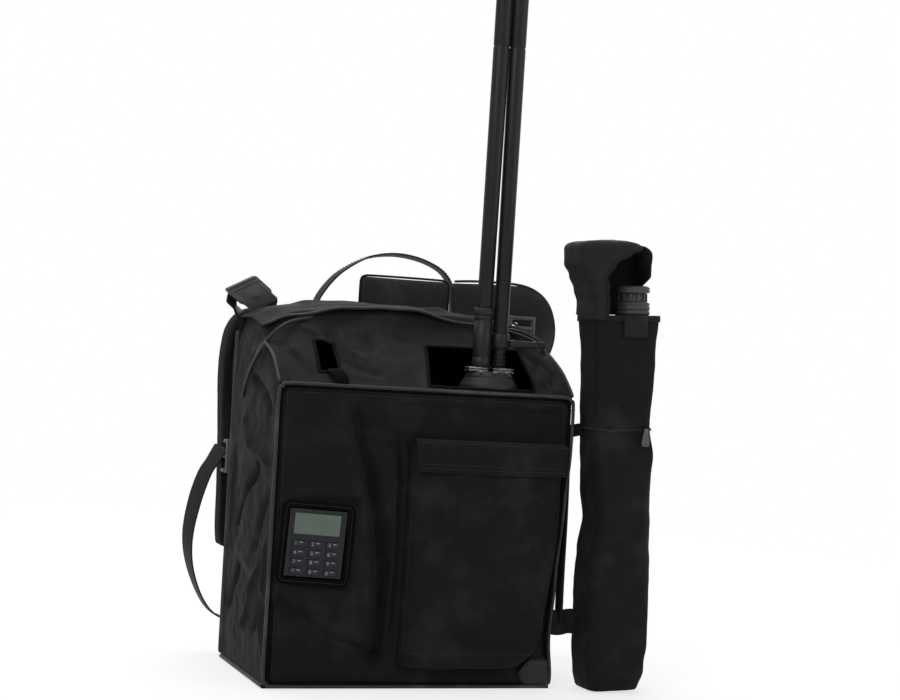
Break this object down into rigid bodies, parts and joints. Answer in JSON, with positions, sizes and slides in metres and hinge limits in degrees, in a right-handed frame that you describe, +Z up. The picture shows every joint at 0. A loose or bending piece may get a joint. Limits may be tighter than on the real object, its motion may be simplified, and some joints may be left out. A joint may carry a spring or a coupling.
{
  "type": "backpack-carried portable radio",
  "caption": "Radio in a sewn backpack carrier with a keypad control head in a window, plug-in whip antennas, front pocket, shoulder harness and a side quiver for a spare antenna.",
  "frame": {"origin": "centre of the base tray's underside, on the floor", "axes": "+Z up along the whips, -Y towards the front face with the control head, +X towards the quiver"},
  "size_m": [0.4327, 0.2718, 0.908],
  "materials": {
    "nylon": "woven, matt",
    "trim": "corded seam",
    "padding": "padded, matt",
    "webbing": "ribbed webbing",
    "buckle_plastic": "satin moulded",
    "head_plastic": "fine textured",
    "key_plastic": "satin",
    "display": "clear over a grey-green display",
    "black_metal": "black anodised",
    "bright_metal": "satin",
    "battery_shell": "matt",
    "board": "solder mask",
    "boot_rubber": "matt",
    "whip_coating": "smooth sleeve",
    "hub_plastic": "grey moulded"
  },
  "bodies": {
    "carrier": {"base_tray": "nylon", "side_panel_left": "nylon", "side_panel_right": "nylon", "back_panel": "nylon", "front_panel": "nylon", "slope_panel": "nylon", "front_piping": "trim", "corner_guard": "buckle_plastic", "front_pocket": "nylon", "head_case": "head_plastic", "head_bezel": "head_plastic", "lcd_glass": "display", "window_frame": "head_plastic", "battery_pack": "battery_shell", "chassis_case": "black_metal", "chassis_cover": "black_metal", "main_board": "board", "tuner_case": "black_metal", "antenna_boot": "boot_rubber", "flange_nuts": "bright_metal", "left_sleeve": "black_metal", "right_stub": "black_metal", "whip_clip": "black_metal", "back_pad": "padding", "yoke_pad": "padding", "shoulder_strap_left": "padding", "shoulder_strap_right": "padding", "webbing_left": "webbing", "webbing_right": "webbing", "ladder_locks": "buckle_plastic", "strap_buckle": "buckle_plastic", "lifter_lock": "buckle_plastic", "quiver_body": "nylon", "quiver_tab": "trim", "quiver_zip": "trim", "quiver_loops": "webbing", "spare_whip": "whip_coating", "spare_hub": "hub_plastic"},
    "top_lid": {"top_lid": "nylon"},
    "pocket_flap": {"pocket_flap": "nylon"},
    "carry_handle": {"carry_handle": "webbing"},
    "quiver_hood": {"quiver_hood": "nylon"},
    "zip_pull": {"zip_pull": "buckle_plastic"},
    "left_whip": {"left_whip": "whip_coating", "left_whip_cap": "whip_coating"},
    "right_whip": {"right_whip": "whip_coating", "right_whip_cap": "whip_coating"},
    "left_collar": {"left_collar": "black_metal"},
    "key_1": {"key_1": "key_plastic"},
    "key_2": {"key_2": "key_plastic"},
    "key_3": {"key_3": "key_plastic"},
    "key_4": {"key_4": "key_plastic"},
    "key_5": {"key_5": "key_plastic"},
    "key_6": {"key_6": "key_plastic"},
    "key_7": {"key_7": "key_plastic"},
    "key_8": {"key_8": "key_plastic"},
    "key_9": {"key_9": "key_plastic"},
    "key_10": {"key_10": "key_plastic"},
    "key_11": {"key_11": "key_plastic"},
    "key_12": {"key_12": "key_plastic"}
  },
  "joints": [
    {"name": "lid_hinge", "type": "hinge", "parent": "carrier", "child": "top_lid", "pos_m": [0, 0.08624, 0.36594], "axis": [-1, 0, 0], "range_deg": [0, 65]},
    {"name": "pocket_flap_hinge", "type": "hinge", "parent": "carrier", "child": "pocket_flap", "pos_m": [0.065, -0.0903, 0.2488], "axis": [-1, 0, 0], "range_deg": [0, 85]},
    {"name": "carry_handle_swing", "type": "hinge", "parent": "carrier", "child": "carry_handle", "pos_m": [0.01, 0.1023, 0.358], "axis": [-1, 0, 0], "range_deg": [0, 85]},
    {"name": "quiver_hood_hinge", "type": "hinge", "parent": "carrier", "child": "quiver_hood", "pos_m": [0.2011, -0.062, 0.38178], "axis": [-0.9986, 0, -0.0523], "range_deg": [0, 95]},
    {"name": "zip_pull_swing", "type": "hinge", "parent": "carrier", "child": "zip_pull", "pos_m": [0.22195, -0.1238, 0.27042], "axis": [-0.9986, 0, -0.0523], "range_deg": [0, 90]},
    {"name": "left_whip_lift", "type": "slide", "parent": "carrier", "child": "left_whip", "axis": [0, 0, 1], "range_m": [0, 0.045]},
    {"name": "right_whip_lift", "type": "slide", "parent": "carrier", "child": "right_whip", "axis": [0, 0, 1], "range_m": [0, 0.009]},
    {"name": "left_collar_turn", "type": "hinge", "parent": "carrier", "child": "left_collar", "pos_m": [0.067, -0.057, 0.377], "axis": [0, 0, 1], "range_deg": [0, 90]},
    {"name": "key_1_press", "type": "slide", "parent": "carrier", "child": "key_1", "axis": [0, 1, 0], "range_m": [0, 0.001], "stiffness_N_per_m": 600},
    {"name": "key_2_press", "type": "slide", "parent": "carrier", "child": "key_2", "axis": [0, 1, 0], "range_m": [0, 0.001], "stiffness_N_per_m": 600},
    {"name": "key_3_press", "type": "slide", "parent": "carrier", "child": "key_3", "axis": [0, 1, 0], "range_m": [0, 0.001], "stiffness_N_per_m": 600},
    {"name": "key_4_press", "type": "slide", "parent": "carrier", "child": "key_4", "axis": [0, 1, 0], "range_m": [0, 0.001], "stiffness_N_per_m": 600},
    {"name": "key_5_press", "type": "slide", "parent": "carrier", "child": "key_5", "axis": [0, 1, 0], "range_m": [0, 0.001], "stiffness_N_per_m": 600},
    {"name": "key_6_press", "type": "slide", "parent": "carrier", "child": "key_6", "axis": [0, 1, 0], "range_m": [0, 0.001], "stiffness_N_per_m": 600},
    {"name": "key_7_press", "type": "slide", "parent": "carrier", "child": "key_7", "axis": [0, 1, 0], "range_m": [0, 0.001], "stiffness_N_per_m": 600},
    {"name": "key_8_press", "type": "slide", "parent": "carrier", "child": "key_8", "axis": [0, 1, 0], "range_m": [0, 0.001], "stiffness_N_per_m": 600},
    {"name": "key_9_press", "type": "slide", "parent": "carrier", "child": "key_9", "axis": [0, 1, 0], "range_m": [0, 0.001], "stiffness_N_per_m": 600},
    {"name": "key_10_press", "type": "slide", "parent": "carrier", "child": "key_10", "axis": [0, 1, 0], "range_m": [0, 0.001], "stiffness_N_per_m": 600},
    {"name": "key_11_press", "type": "slide", "parent": "carrier", "child": "key_11", "axis": [0, 1, 0], "range_m": [0, 0.001], "stiffness_N_per_m": 600},
    {"name": "key_12_press", "type": "slide", "parent": "carrier", "child": "key_12", "axis": [0, 1, 0], "range_m": [0, 0.001], "stiffness_N_per_m": 600}
  ]
}
